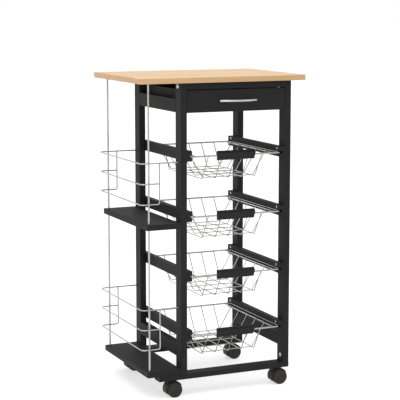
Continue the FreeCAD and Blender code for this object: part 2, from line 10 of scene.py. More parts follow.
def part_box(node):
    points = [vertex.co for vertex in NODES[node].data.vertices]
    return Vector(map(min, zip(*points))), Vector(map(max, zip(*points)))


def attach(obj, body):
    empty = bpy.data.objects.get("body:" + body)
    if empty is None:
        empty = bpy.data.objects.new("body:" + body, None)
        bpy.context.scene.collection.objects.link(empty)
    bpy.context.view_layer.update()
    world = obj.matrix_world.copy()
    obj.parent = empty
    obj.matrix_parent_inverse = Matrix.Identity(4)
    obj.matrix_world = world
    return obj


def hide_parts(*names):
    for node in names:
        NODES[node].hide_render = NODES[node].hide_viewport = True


bl_info = {
    "name": "Rolling Kitchen Cart",
    "version": (1, 0, 0),
    "blender": (4, 5, 0),
    "location": "View3D > Sidebar > Cart",
    "description": "Finishes and detailed pieces for a rolling kitchen island cart",
    "category": "Object",
}

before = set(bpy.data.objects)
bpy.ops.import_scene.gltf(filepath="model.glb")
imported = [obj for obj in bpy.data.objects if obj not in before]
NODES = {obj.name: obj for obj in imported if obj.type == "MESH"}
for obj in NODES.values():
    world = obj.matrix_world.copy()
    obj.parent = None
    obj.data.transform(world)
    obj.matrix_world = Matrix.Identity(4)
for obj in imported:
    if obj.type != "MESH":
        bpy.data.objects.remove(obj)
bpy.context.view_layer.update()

X, Y, Z = Vector((1, 0, 0)), Vector((0, 1, 0)), Vector((0, 0, 1))
FULL_TURN = 2 * math.pi
SAME_POINT = 1e-6
WELD_GAP = SAME_POINT * 50
WHITE = (1.0, 1.0, 1.0, 1.0)
BEND_STEPS = 6

CORNERS = ("front_left", "front_right", "rear_left", "rear_right")
SIDES = ("left", "right")
LEVELS = (1, 2, 3, 4)
UPRIGHT_BOARDS = ["post_" + corner for corner in CORNERS]
CROSS_BOARDS = ["base_rail_front", "base_rail_rear", "top_rail_front", "top_rail_rear", "drawer_front"]
DEEP_BOARDS = [kind + side for kind in ("apron_", "side_rail_", "drawer_cleat_") for side in SIDES]
DEEP_BOARDS += ["runner_%d_%s" % (level, side) for level in LEVELS for side in SIDES]
DEEP_BOARDS += ["rack_shelf_middle", "rack_shelf_lower"]
DRAWER_BOARDS = ["drawer_side_left", "drawer_side_right", "drawer_back", "drawer_bottom"]


# ---- sizes and colours a user would change
def length(name, description, default):
    return FloatProperty(name=name, description=description, default=default, min=0.0,
                         subtype="DISTANCE", unit="LENGTH", precision=5)


def share(name, description, default):
    return FloatProperty(name=name, description=description, default=default, min=0.0, max=1.0,
                         subtype="FACTOR")


def colour(name, description, default):
    return FloatVectorProperty(name=name, description=description, default=default, size=3,
                               min=0.0, max=1.0, subtype="COLOR")


class CartWoodSettings(PropertyGroup):
    pale: colour("Pale wood", "Lightest tone of the wooden top", (0.67, 0.465, 0.250))
    deep: colour("Deep wood", "Darkest tone of the wooden top's grain", (0.51, 0.315, 0.145))
    # Painted shade: the darker tone that the top's side faces take up, as if they got less light than the
    # top
    edge: colour("Edge wood with painted shade", "Tone that the cut edges of the top take up", (0.40, 0.235, 0.105))
    pore: colour("Pores", "Tone of the fine open pores", (0.38, 0.235, 0.125))
    gloss: share("Lacquer roughness", "Mean roughness of the clear lacquer", 0.42)


class CartPaintSettings(PropertyGroup):
    black: colour("Black paint", "Colour of the painted boards", (0.0098, 0.0100, 0.0107))
    dusty: colour("Lighter paint", "Colour of the paint where it is rubbed or dusty",
                  (0.0152, 0.0153, 0.0158))
    worn: colour("Worn edge", "Colour where the paint is thin over an edge", (0.040, 0.038, 0.036))
    gloss: share("Paint roughness", "Mean roughness of the satin paint", 0.62)
    edge: length("Worn edge width", "How far the soft wear reaches from an edge", 0.0012)


class CartWireSettings(PropertyGroup):
    sides: IntProperty(name="Wire sides", description="Faces round each wire", default=14, min=6, max=32)
    rim: length("Rim wire radius", "Radius of the closed wire that rides in the runners", 0.00225)
    side_rim: length("Side wire radius", "Radius of the two wires at the baskets' sides", 0.00175)
    fine: length("Fine wire radius", "Radius of the wires in walls and floors", 0.00125)
    rim_corner: length("Rim corner", "Bend radius of the rim wire at its corners", 0.008)
    side_inset: length("Side wire inset", "From the runner's face to the side wire", 0.014)
    drop: length("Basket depth", "From the rim down to the lowest wire", 0.068)
    end_slope: length("End slope", "How far the front and rear walls lean in", 0.043)
    floor_width: length("Floor width", "Between the outer floor wires", 0.160)
    cross_spacing: length("Cross wire spacing", "Between the wires that cross the floor", 0.0545)
    fine_bend: length("Fine wire bend", "Bend radius of the fine wires", 0.004)
    rod: length("Rod radius", "Radius of the upright rods of the side rack", 0.0025)
    rod_seat: length("Rod seat", "How deep the rods' ends stand in the middle shelf", 0.003)
    guard: length("Guard wire radius", "Radius of the wires round the side rack", 0.00175)
    guard_corner: length("Guard corner", "Bend radius of the guard wires at the corners", 0.012)
    guard_bend: length("Guard upright bend", "Bend radius where the lowest wire turns up", 0.005)
    guard_spacing: length("Guard wire spacing", "Height between the guard wires", 0.055)
    upright: length("Guard upright", "From the posts to the guard's upright ends", 0.059)
    metal: colour("Plating", "Colour of the bright plating", (0.47, 0.462, 0.450))
    satin: colour("Satin nickel", "Colour of the drawer pull", (0.56, 0.56, 0.55))
    zinc: colour("Zinc", "Colour of the screws, bolts and axles", (0.60, 0.61, 0.63))


class CartCastorSettings(PropertyGroup):
    steps: IntProperty(name="Wheel steps", description="Faces round each wheel", default=56, min=16, max=128)
    trail: length("Trail", "From the swivel's axis to the axle", 0.010)
    wheel: length("Wheel radius", "Outer radius of the wheels", 0.021)
    plastic: colour("Castor plastic", "Colour of the moulded castors", (0.017, 0.0163, 0.0150))
    grip: colour("Handle plastic", "Colour of the basket handles", (0.0060, 0.0064, 0.0078))
    gloss: share("Plastic roughness", "Mean roughness of the moulded plastic", 0.5)


class CartStageSettings(PropertyGroup):
    floor: colour("Floor", "Colour of the studio floor", (0.55, 0.55, 0.55))
    glow: FloatProperty(name="Floor glow", description="Light that the floor gives, as a lit table does",
                        default=0.58, min=0.0)
    sky: FloatProperty(name="Room light", description="Strength of the even white room",
                       default=1.0, min=0.0)
    key: FloatProperty(name="Key light", description="Power of the large soft light overhead", default=60.0,
                       min=0.0, subtype="POWER", unit="POWER")
    lens: FloatProperty(name="Lens", description="Focal length of the camera in millimetres", default=122.36)
    place: FloatVectorProperty(name="Camera place", description="Where the camera stands", size=3,
                               default=(-1.5552, -3.4599, 1.0807), subtype="XYZ", unit="LENGTH")
    turn: FloatProperty(name="Camera turn", description="Turn to the right of straight ahead",
                        default=math.radians(24.25), subtype="ANGLE")
    tilt: FloatProperty(name="Camera tilt", description="Tilt below the horizon",
                        default=math.radians(8.49), subtype="ANGLE")


SETTINGS = {"cart_wood": CartWoodSettings, "cart_paint": CartPaintSettings, "cart_wire": CartWireSettings,
            "cart_castor": CartCastorSettings, "cart_stage": CartStageSettings}


def wire_sizes():
    return bpy.context.scene.cart_wire


def castor_sizes():
    return bpy.context.scene.cart_castor


# ---- shader nodes
def add(tree, kind, inputs=None, **settings):
    """A shader node with its settings and a value or link for each named input."""
    node = tree.nodes.new("ShaderNode" + kind)
    for name, value in settings.items():
        setattr(node, name, value)
    for name, value in (inputs or {}).items():
        if isinstance(value, bpy.types.NodeSocket):
            tree.links.new(value, node.inputs[name])
        else:
            node.inputs[name].default_value = value
    return node


def maths(tree, operation, *values, clamp=False):
    return add(tree, "Math", dict(enumerate(values)), operation=operation, use_clamp=clamp).outputs[0]


def spread(tree, value, low, high, to_low=0.0, to_high=1.0):
    """Stretches the part of a value between low and high over a new range."""
    ends = {"Value": value, "From Min": low, "From Max": high, "To Min": to_low, "To Max": to_high}
    return add(tree, "MapRange", ends).outputs["Result"]


def mixed(tree, factor, first, second):
    """A colour between two colours."""
    colours = {0: factor, 6: first, 7: second}
    return add(tree, "Mix", colours, data_type="RGBA").outputs[2]


def noise(tree, place, scale, detail=2.0, roughness=0.5):
    values = {"Vector": place, "Scale": scale, "Detail": detail, "Roughness": roughness}
    return add(tree, "TexNoise", values).outputs["Fac"]


def stretched(tree, place, along, across):
    """Coordinates that draw a pattern out along X."""
    return add(tree, "Mapping", {"Vector": place, "Scale": (along, across, across)}).outputs["Vector"]


def drawn_noise(tree, place, along, across, detail, roughness=0.5):
    """Noise drawn out along X, given how fine it is along and across."""
    return noise(tree, stretched(tree, place, along, across), 1.0, detail, roughness)


def shader_group(name, ins, outs, build):
    """A node group with named sockets, made the first time it is asked for."""
    tree = bpy.data.node_groups.get(name)
    if tree:
        return tree
    tree = bpy.data.node_groups.new(name, "ShaderNodeTree")
    for side, sockets in (("INPUT", ins), ("OUTPUT", outs)):
        for socket, kind in sockets:
            tree.interface.new_socket(name=socket, in_out=side, socket_type="NodeSocket" + kind)
    source = tree.nodes.new("NodeGroupInput")
    sink = tree.nodes.new("NodeGroupOutput")
    for socket, value in build(tree, source.outputs).items():
        tree.links.new(value, sink.inputs[socket])
    return tree


def use_group(tree, group, inputs):
    return add(tree, "Group", inputs, node_tree=group).outputs


def wood_figure():
    """Long soft bands, fine streaks and pores that run along X."""
    def build(tree, given):
        place = given["Place"]
        band_sway = 4.5
        sway = drawn_noise(tree, place, 2.2, 9.0, 2.0)
        aside = add(tree, "CombineXYZ", {"Y": maths(tree, "MULTIPLY", sway, band_sway)}).outputs[0]
        bent = add(tree, "VectorMath", {0: stretched(tree, place, 1.4, 34.0), 1: aside}).outputs[0]
        bands = noise(tree, bent, 1.0, 3.0, 0.55)
        streaks = drawn_noise(tree, place, 7.0, 420.0, 3.0, 0.6)
        fibres = drawn_noise(tree, place, 34.0, 1700.0, 2.0, 0.6)
        streak_share, band_share, pore_depth = 0.42, 0.62, -0.8
        tone = maths(tree, "MULTIPLY_ADD", streaks, streak_share,
                     maths(tree, "MULTIPLY", bands, band_share))
        pores = spread(tree, fibres, 0.60, 0.72)
        height = maths(tree, "MULTIPLY_ADD", pores, pore_depth, streaks)
        return {"Tone": spread(tree, tone, 0.36, 0.68), "Pores": pores, "Height": height}
    return shader_group("Wood figure", [("Place", "Vector")],
                        [("Tone", "Float"), ("Pores", "Float"), ("Height", "Float")], build)


def painted_grain():
    """Faint wood grain along X under sprayed paint, with soft cloudy rubbing."""
    def build(tree, given):
        place = given["Place"]
        grain = drawn_noise(tree, place, 9.0, 330.0, 3.0, 0.6)
        peel = noise(tree, place, 1400.0, 1.0)
        clouds = drawn_noise(tree, place, 6.0, 22.0, 4.0, 0.6)
        grain_share, cloud_share, peel_share = 0.45, 0.6, 0.35
        mottle = maths(tree, "MULTIPLY_ADD", grain, grain_share,
                       maths(tree, "MULTIPLY", clouds, cloud_share))
        return {"Mottle": spread(tree, mottle, 0.38, 0.68),
                "Height": maths(tree, "MULTIPLY_ADD", peel, peel_share, grain)}
    return shader_group("Painted grain", [("Place", "Vector")], [("Mottle", "Float"), ("Height", "Float")],
                        build)


def edge_wear():
    """Where a surface is close to an edge, broken up by noise, and the normal of a softened edge."""
    def build(tree, given):
        rounded = add(tree, "Bevel", {"Radius": given["Width"]}, samples=6).outputs["Normal"]
        flat = add(tree, "NewGeometry").outputs["Normal"]
        alike = add(tree, "VectorMath", {0: rounded, 1: flat}, operation="DOT_PRODUCT").outputs["Value"]
        near = spread(tree, alike, 0.995, 0.80)
        rubbed = spread(tree, noise(tree, given["Place"], 90.0, 4.0, 0.65), 0.42, 0.62)
        return {"Worn": maths(tree, "MULTIPLY", near, rubbed, clamp=True), "Normal": rounded}
    return shader_group("Edge wear", [("Place", "Vector"), ("Width", "Float")],
                        [("Worn", "Float"), ("Normal", "Vector")], build)


def plated_metal():
    """Faint clouding of bright plating and the fine unevenness of drawn wire under it."""
    def build(tree, given):
        clouds = noise(tree, given["Place"], 70.0, 3.0, 0.6)
        drawn = noise(tree, given["Place"], 1500.0, 2.0)
        specks = spread(tree, noise(tree, given["Place"], 420.0, 2.0), 0.62, 0.75)
        return {"Cloud": spread(tree, clouds, 0.35, 0.68), "Specks": specks, "Height": drawn}
    return shader_group("Plated metal", [("Place", "Vector")],
                        [("Cloud", "Float"), ("Specks", "Float"), ("Height", "Float")], build)


def moulded_grain():
    """The fine spark-etched grain of a moulded plastic part, with dull patches from handling."""
    def build(tree, given):
        etched = noise(tree, given["Place"], 2600.0, 2.0, 0.7)
        patches = noise(tree, given["Place"], 55.0, 3.0, 0.6)
        return {"Patches": spread(tree, patches, 0.36, 0.66), "Height": etched}
    return shader_group("Moulded grain", [("Place", "Vector")], [("Patches", "Float"), ("Height", "Float")],
                        build)


# ---- finishes
def new_finish(name, constants):
    """An empty material with its surface shader, and the object's own coordinates."""
    material = bpy.data.materials.new(name)
    material.use_nodes = True
    tree = material.node_tree
    tree.nodes.clear()
    shader = add(tree, "BsdfPrincipled", constants)
    sink = add(tree, "OutputMaterial")
    tree.links.new(shader.outputs["BSDF"], sink.inputs["Surface"])
    place = add(tree, "TexCoord").outputs["Object"]
    return material, tree, shader, place


def feed(tree, shader, base, rough, height, distance, strength, normal=None):
    """Links a surface's colour, roughness and fine relief to its shader."""
    relief = {"Height": height, "Distance": distance, "Strength": strength}
    if normal:
        relief["Normal"] = normal
    bump = add(tree, "Bump", relief).outputs["Normal"]
    for name, value in (("Base Color", base), ("Roughness", rough), ("Normal", bump)):
        tree.links.new(value, shader.inputs[name])


def solid(rgb, shade=1.0):
    """A colour as a shader socket takes it, made lighter or darker by a factor."""
    return (*(part * shade for part in rgb), 1.0)


def tinted(tree, mask, share_of, under, over):
    """A colour that takes up a share of another colour where a mask is white."""
    return mixed(tree, maths(tree, "MULTIPLY", mask, share_of), under, over)


def lacquered_wood():
    wood = bpy.context.scene.cart_wood
    lacquer = {"Specular IOR Level": 0.35, "Coat Weight": 0.06, "Coat Roughness": 0.28}
    material, tree, shader, place = new_finish("Lacquered wood", lacquer)
    figure = use_group(tree, wood_figure(), {"Place": place})
    wear = use_group(tree, edge_wear(), {"Place": place, "Width": 0.0015})
    board = mixed(tree, figure["Tone"], solid(wood.pale), solid(wood.deep))
    normal = add(tree, "NewGeometry").outputs["Normal"]
    upright = add(tree, "SeparateXYZ", {"Vector": normal}).outputs["Z"]
    # Painted shade: faces that do not look up take up to 0.55 of the edge tone, so the sides read darker
    # than the top as if lit from above
    cut = spread(tree, maths(tree, "ABSOLUTE", upright), 0.9, 0.2, 0.0, 0.55)
    board = mixed(tree, cut, board, solid(wood.edge))
    board = tinted(tree, figure["Pores"], 0.35, board, solid(wood.pore))
    board = tinted(tree, wear["Worn"], 0.25, board, solid(wood.deep))
    sheen = spread(tree, figure["Tone"], 0.0, 1.0, wood.gloss - 0.06, wood.gloss + 0.08)
    rough = maths(tree, "MULTIPLY_ADD", figure["Pores"], 0.12, sheen)
    feed(tree, shader, board, rough, figure["Height"], distance=0.00008, strength=0.6,
         normal=wear["Normal"])
    return material


def black_paint(name, turn):
    """Satin black paint on a board whose grain runs along X once it is turned."""
    paint = bpy.context.scene.cart_paint
    material, tree, shader, place = new_finish(name, {"Specular IOR Level": 0.14})
    along = add(tree, "Mapping", {"Vector": place, "Rotation": turn}).outputs["Vector"]
    grain = use_group(tree, painted_grain(), {"Place": along})
    wear = use_group(tree, edge_wear(), {"Place": place, "Width": paint.edge})
    coat = mixed(tree, grain["Mottle"], solid(paint.black), solid(paint.dusty))
    coat = tinted(tree, wear["Worn"], 0.55, coat, solid(paint.worn))
    sheen = spread(tree, grain["Mottle"], 0.0, 1.0, paint.gloss - 0.07, paint.gloss + 0.07)
    rough = maths(tree, "MULTIPLY_ADD", wear["Worn"], -0.1, sheen)
    feed(tree, shader, coat, rough, grain["Height"], distance=0.00006, strength=0.5,
         normal=wear["Normal"])
    return material


def bright_metal(name, tint, rough_low, rough_high):
    material, tree, shader, place = new_finish(name, {"Metallic": 1.0})
    metal = use_group(tree, plated_metal(), {"Place": place})
    plate = mixed(tree, metal["Cloud"], solid(tint), solid(tint, 0.80))
    plate = tinted(tree, metal["Specks"], 0.4, plate, solid(tint, 0.55))
    rough = spread(tree, metal["Cloud"], 0.0, 1.0, rough_low, rough_high)
    feed(tree, shader, plate, rough, metal["Height"], distance=0.00002, strength=0.4)
    return material


def moulded_plastic(name, tint):
    material, tree, shader, place = new_finish(name, {"Specular IOR Level": 0.2})
    grain = use_group(tree, moulded_grain(), {"Place": place})
    wear = use_group(tree, edge_wear(), {"Place": place, "Width": 0.0008})
    skin = mixed(tree, grain["Patches"], solid(tint), solid(tint, 1.35))
    skin = tinted(tree, wear["Worn"], 0.5, skin, solid(tint, 2.2))
    gloss = castor_sizes().gloss
    rough = spread(tree, grain["Patches"], 0.0, 1.0, gloss - 0.08, gloss + 0.08)
    feed(tree, shader, skin, rough, grain["Height"], distance=0.00004, strength=0.5,
         normal=wear["Normal"])
    return material


FINISHES = {
    "Lacquered wood": lacquered_wood,
    "Upright painted board": lambda: black_paint("Upright painted board", (0.0, math.pi / 2, 0.0)),
    "Cross painted board": lambda: black_paint("Cross painted board", (0.0, 0.0, 0.0)),
    "Deep painted board": lambda: black_paint("Deep painted board", (0.0, 0.0, -math.pi / 2)),
    "Bright plating": lambda: bright_metal("Bright plating", wire_sizes().metal, 0.16, 0.30),
    "Satin nickel": lambda: bright_metal("Satin nickel", wire_sizes().satin, 0.24, 0.36),
    "Zinc plating": lambda: bright_metal("Zinc plating", wire_sizes().zinc, 0.30, 0.45),
    "Castor plastic": lambda: moulded_plastic("Castor plastic", castor_sizes().plastic),
    "Handle plastic": lambda: moulded_plastic("Handle plastic", castor_sizes().grip),
}


def finish(name):
    """A material by its name, made the first time it is asked for."""
    return bpy.data.materials.get(name) or FINISHES[name]()


def coat_nodes(nodes, coating):
    """Gives CAD nodes a finish through their material slots."""
    material = finish(coating)
    for node in nodes:
        piece = NODES[node]
        if not piece.material_slots:
            piece.data.materials.append(material)
        for slot in piece.material_slots:
            slot.material = material


# ---- mesh helpers
def settle(bm):
    """Merges points that meet and turns every face outwards."""
    bmesh.ops.remove_doubles(bm, verts=bm.verts, dist=SAME_POINT)
    bmesh.ops.recalc_face_normals(bm, faces=bm.faces)


def linked_object(bm, name):
    """Turns a bmesh into an object in the scene."""
    mesh = bpy.data.meshes.new(name)
    bm.to_mesh(mesh)
    bm.free()
    made = bpy.data.objects.new(name, mesh)
    bpy.context.scene.collection.objects.link(made)
    return made


def make_piece(bm, name, body, coating, nodes, sharp=38.0):
    """Turns a bmesh into a finished piece that rides on a body and stands for CAD nodes."""
    settle(bm)
    piece = linked_object(bm, name)
    mesh = piece.data
    mesh.polygons.foreach_set("use_smooth", [True] * len(mesh.polygons))
    mesh.set_sharp_from_angle(angle=math.radians(sharp))
    mesh.materials.append(finish(coating))
    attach(piece, body)
    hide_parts(*nodes)


def facing(direction):
    """The turn that takes +Z to a direction."""
    return direction.to_track_quat("Z", "Y").to_matrix().to_4x4()


def ring(bm, centre, direction, radius, sides):
    """Gives back the edges of a circle that faces a direction."""
    made = bmesh.ops.create_circle(bm, segments=sides, radius=radius,
                                   matrix=Matrix.Translation(centre) @ facing(direction))
    return list({edge for vert in made["verts"] for edge in vert.link_edges})


def kept(geometry, kind):
    return [item for item in geometry if isinstance(item, kind)]


def pull(bm, edges, step, grow=1.0):
    """Draws a loop of edges along a step, made wider or narrower round its middle."""
    made = bmesh.ops.extrude_edge_only(bm, edges=edges)["geom"]
    verts = kept(made, bmesh.types.BMVert)
    bmesh.ops.translate(bm, vec=step, verts=verts)
    if grow != 1.0:
        middle = sum((vert.co for vert in verts), Vector()) / len(verts)
        bmesh.ops.scale(bm, vec=(grow, grow, grow), verts=verts, space=Matrix.Translation(-middle))
    return kept(made, bmesh.types.BMEdge)


def swing(bm, edges, centre, axis, angle, steps):
    """Spins a loop of edges round an axis and gives back the last loop."""
    made = bmesh.ops.spin(bm, geom=edges, cent=centre, axis=axis, dvec=(0, 0, 0), angle=angle,
                          steps=steps, use_merge=False, use_normal_flip=False, use_duplicate=False)
    return kept(made["geom_last"], bmesh.types.BMEdge)


def cap(bm, edges):
    bmesh.ops.contextual_create(bm, geom=edges)


def ease(bm, edges, width, segments):
    """Rounds edges."""
    bmesh.ops.bevel(bm, geom=edges, offset=width, offset_type="OFFSET", segments=segments, profile=0.5,
                    affect="EDGES", material=-1, clamp_overlap=True)


def close_end(bm, edges, width, segments=2):
    """A cut wire end with its rim rubbed round."""
    cap(bm, edges)
    ease(bm, edges, width, segments)


def bent_wire(bm, points, radius, *turns, closed=False):
    """A round wire drawn along straight runs and spun round each bend between them.

    A turn is a bend's (radius, steps). One turn does for all the bends, or there is one for each.
    """
    sides, rubbed, meeting = wire_sizes().sides, radius * 0.45, 1e-5
    turns = turns * (len(points) - 2) if len(turns) == 1 else turns
    points = [Vector(point) for point in points]
    run = (points[1] - points[0]).normalized()
    first = ring(bm, points[0], run, radius, sides)
    edges, at = first, points[0]
    for here, following, (bend_r, steps) in zip(points[1:], points[2:], turns):
        ahead = (following - here).normalized()
        angle = run.angle(ahead)
        reach = bend_r * math.tan(angle / 2)
        stop = here - run * reach
        edges = pull(bm, edges, stop - at)
        axis = run.cross(ahead).normalized()
        edges = swing(bm, edges, stop + axis.cross(run) * bend_r, axis, angle, steps)
        at, run = here + ahead * reach, ahead
    edges = pull(bm, edges, points[-1] - at)
    if closed:
        ends = list({vert for edge in first + edges for vert in edge.verts})
        bmesh.ops.remove_doubles(bm, verts=ends, dist=meeting)
    else:
        close_end(bm, first, rubbed)
        close_end(bm, edges, rubbed)


def weld(bm, place, radius):
    """A small flattened bead where two wires are welded."""
    size = Matrix.Diagonal((1.0, 1.0, 0.75, 1.0))
    bmesh.ops.create_uvsphere(bm, u_segments=8, v_segments=5, radius=radius,
                              matrix=Matrix.Translation(place) @ size)


def lathe(bm, outline, centre, axis, steps):
    """Spins an outline of (radius, distance along the axis) into a round part."""
    out = axis.orthogonal().normalized()
    verts = [bm.verts.new(centre + axis * along + out * radius) for radius, along in outline]
    edges = [bm.edges.new(pair) for pair in zip(verts, verts[1:])]
    bmesh.ops.spin(bm, geom=verts + edges, cent=centre, axis=axis, dvec=(0, 0, 0), angle=FULL_TURN,
                   steps=steps, use_merge=True, use_normal_flip=False, use_duplicate=False)


def lathed(outline, centre, axis, steps):
    """A round part in a bmesh of its own."""
    bm = bmesh.new()
    lathe(bm, outline, centre, axis, steps)
    return bm


def rod_outline(radius, low, high):
    return [(0.0, low), (radius, low), (radius, high), (0.0, high)]


def pattern_mesh(bm):
    """A mesh to be stamped at several places."""
    bmesh.ops.remove_doubles(bm, verts=bm.verts, dist=SAME_POINT)
    mesh = bpy.data.meshes.new("pattern")
    bm.to_mesh(mesh)
    bm.free()
    return mesh


def stamp(bm, pattern, matrix):
    """Adds a copy of a pattern mesh at a place."""
    count = len(bm.verts)
    bm.from_mesh(pattern)
    bm.verts.ensure_lookup_table()
    bmesh.ops.transform(bm, matrix=matrix, verts=bm.verts[count:])


def slice_by(bm, planes):
    """Cuts everything in a bmesh by planes given as (point, normal)."""
    for point, normal in planes:
        everything = bm.verts[:] + bm.edges[:] + bm.faces[:]
        bmesh.ops.bisect_plane(bm, geom=everything, dist=SAME_POINT / 10, plane_co=point, plane_no=normal)


def sink(bm, faces, depth, taper):
    """Presses a group of faces in along +Z, drawn together round the Z axis."""
    made = bmesh.ops.extrude_face_region(bm, geom=faces)["geom"]
    verts = kept(made, bmesh.types.BMVert)
    bmesh.ops.translate(bm, vec=(0, 0, depth), verts=verts)
    bmesh.ops.scale(bm, vec=(taper, taper, 1.0), verts=verts)
    bmesh.ops.delete(bm, geom=faces, context="FACES_ONLY")


# ---- fastener patterns: the outer face is at the origin and the shank runs along +Z
def turned_down(bm, rim, radius, *stages):
    """Draws a round rim on through stages of (rise, new radius) and closes its end."""
    for rise, new_radius in stages:
        rim = pull(bm, rim, Z * rise, new_radius / radius)
        radius = new_radius
    cap(bm, rim)
    return pattern_mesh(bm)


def open_rim(bm):
    return [edge for edge in bm.edges if edge.is_boundary]


def cross_head(bm, radius, slot, reach, depth):
    """A round face with a cross recess. Gives back the edges of its rim."""
    cap(bm, ring(bm, Vector(), Z, radius, sides=16))
    slice_by(bm, [(axis * side * size, axis) for axis in (X, Y) for side in (-1, 1)
                  for size in (slot, reach)])
    in_cross = []
    for face in bm.faces:
        x, y, _ = face.calc_center_median()
        if max(abs(x), abs(y)) < reach and min(abs(x), abs(y)) < slot:
            in_cross.append(face)
    sink(bm, in_cross, depth, 0.7)
    return open_rim(bm)


def wood_screw_pattern(whole_length):
    bm = bmesh.new()
    head_r, shank_r, point_r, head, point = 0.00325, 0.00175, 0.00175 * 0.15, 0.0022, 0.004
    rim = cross_head(bm, head_r, slot=0.0004, reach=0.0019, depth=0.0012)
    return turned_down(bm, rim, head_r, (head, shank_r), (whole_length - head - point, shank_r),
                       (point, point_r))


def pan_screw_pattern(shank):
    bm = bmesh.new()
    face_r, head_r, shank_r = 0.0031, 0.004, 0.002
    rim = cross_head(bm, face_r, slot=0.0005, reach=0.0022, depth=0.0013)
    return turned_down(bm, rim, face_r, (0.0006, 0.0038), (0.0008, head_r), (0.0011, head_r),
                       (0.0, shank_r), (shank, shank_r))


def cap_bolt_pattern(shank):
    """A flat furniture bolt head with a hexagon socket."""
    bm = bmesh.new()
    face_r, head_r, shank_r, socket_r, socket_depth = 0.0056, 0.0065, 0.003, 0.0026, 0.0017
    outer = ring(bm, Vector(), Z, face_r, sides=24)
    socket = ring(bm, Vector(), Z, socket_r, sides=6)
    bmesh.ops.bridge_loops(bm, edges=outer + socket)
    cap(bm, pull(bm, socket, Z * socket_depth))
    return turned_down(bm, outer, face_r, (0.0003, 0.0062), (0.0005, head_r), (0.0017, head_r),
                       (0.0, shank_r), (shank, shank_r))


def barrel_nut_pattern(radius, depth):
    """A cross dowel with a screwdriver slot in its face."""
    bm = bmesh.new()
    face_r, chamfer, slot, reach = radius * 0.93, radius * 0.07, radius * 0.14, radius * 0.72
    cap(bm, ring(bm, Vector(), Z, face_r, sides=24))
    slice_by(bm, [(axis * side * size, axis) for axis, size in ((X, slot), (Y, reach))
                  for side in (-1, 1)])
    in_slot = [face for face in bm.faces if abs(face.calc_center_median().x) < slot
               and abs(face.calc_center_median().y) < reach]
    sink(bm, in_slot, radius * 0.22, 1.0)
    return turned_down(bm, open_rim(bm), face_r, (chamfer, radius), (depth - chamfer, radius))


def centre(node):
    low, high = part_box(node)
    return (low + high) / 2


def put(pattern, bm, spots):
    """Stamps a pattern at each (place, direction)."""
    for seat, direction in spots:
        stamp(bm, pattern, Matrix.Translation(seat) @ facing(direction))


# ---- operators
class CART_OT_wooden_top(Operator):
    """Finishes the wooden top"""
    bl_idname = "cart.wooden_top"
    bl_label = "Wooden top"

    def execute(self, context):
        coat_nodes(["tabletop"], "Lacquered wood")
        return {"FINISHED"}


class CART_OT_painted_boards(Operator):
    """Paints the frame, the runners and the rack shelves, each with its grain along the board"""
    bl_idname = "cart.painted_boards"
    bl_label = "Painted boards"

    def execute(self, context):
        coat_nodes(UPRIGHT_BOARDS, "Upright painted board")
        coat_nodes(CROSS_BOARDS, "Cross painted board")
        coat_nodes(DEEP_BOARDS, "Deep painted board")
        return {"FINISHED"}


class CART_OT_drawer_box(Operator):
    """Paints the sides, back and bottom of the drawer"""
    bl_idname = "cart.drawer_box"
    bl_label = "Drawer box"

    def execute(self, context):
        coat_nodes(DRAWER_BOARDS, "Deep painted board")
        return {"FINISHED"}


class CART_OT_drawer_pull(Operator):
    """Makes the arched drawer pull and the two screws that hold it"""
    bl_idname = "cart.drawer_pull"
    bl_label = "Drawer pull"

    def execute(self, context):
        low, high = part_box("drawer_pull")
        middle = centre("drawer_pull")
        radius, foot_r, foot_half = 0.003, 0.0035, 0.048
        foot_depth, end_drop, screw_shank = 0.009, 0.003, 0.019
        half = (high.x - low.x) / 2 - radius * 0.4
        rise = high.y - low.y - foot_depth - end_drop
        bow_r = (half ** 2 + rise ** 2) / (2 * rise)
        hub = Vector((middle.x, low.y + radius + bow_r, middle.z))
        sweep = 2 * math.asin(half / bow_r)
        to_start = Matrix.Rotation(-sweep / 2, 3, "Z")
        bm = bmesh.new()
        first = ring(bm, hub + to_start @ Vector((0, -bow_r, 0)), to_start @ X, radius, sides=20)
        last = swing(bm, first, hub, Z, sweep, steps=36)
        for edges in (first, last):
            close_end(bm, edges, radius * 0.6, segments=3)
        for side in (-1, 1):
            foot = Vector((middle.x + side * foot_half, high.y, middle.z))
            depth = foot.y - (hub.y - math.sqrt(bow_r ** 2 - foot_half ** 2))
            outline = [(0.0, 0.0), (foot_r, 0.0), (foot_r, 0.0008), (foot_r * 0.84, 0.0022),
                       (foot_r * 0.80, depth - 0.0028), (foot_r * 0.86, depth - 0.0010), (0.0, depth)]
            lathe(bm, outline, foot, -Y, steps=24)
        make_piece(bm, "drawer_pull_bow", "drawer", "Satin nickel", ["drawer_pull"])
        bm = bmesh.new()
        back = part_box("pull_screws")[1].y
        put(pan_screw_pattern(screw_shank), bm,
            [(Vector((middle.x + side * foot_half, back, middle.z)), -Y) for side in (-1, 1)])
        make_piece(bm, "drawer_pull_screws", "drawer", "Zinc plating", ["pull_screws"])
        return {"FINISHED"}


def basket_frame(level):
    """Rim wire lines of one basket: left, right, front, rear and height."""
    wire = wire_sizes()
    low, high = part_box("basket_%d_wire" % level)
    return (low.x + wire.rim, high.x - wire.rim, low.y + wire.rim, high.y - wire.rim, low.z + wire.drop)


def wall_reach(wire_r, slope, drop):
    """How far in and up a slanting wall wire starts from the wire it is welded to, and its lean."""
    slant = math.atan2(slope, drop)
    touch = wire_r + wire_sizes().fine + WELD_GAP
    return touch * math.cos(slant), touch * math.sin(slant), math.tan(slant)


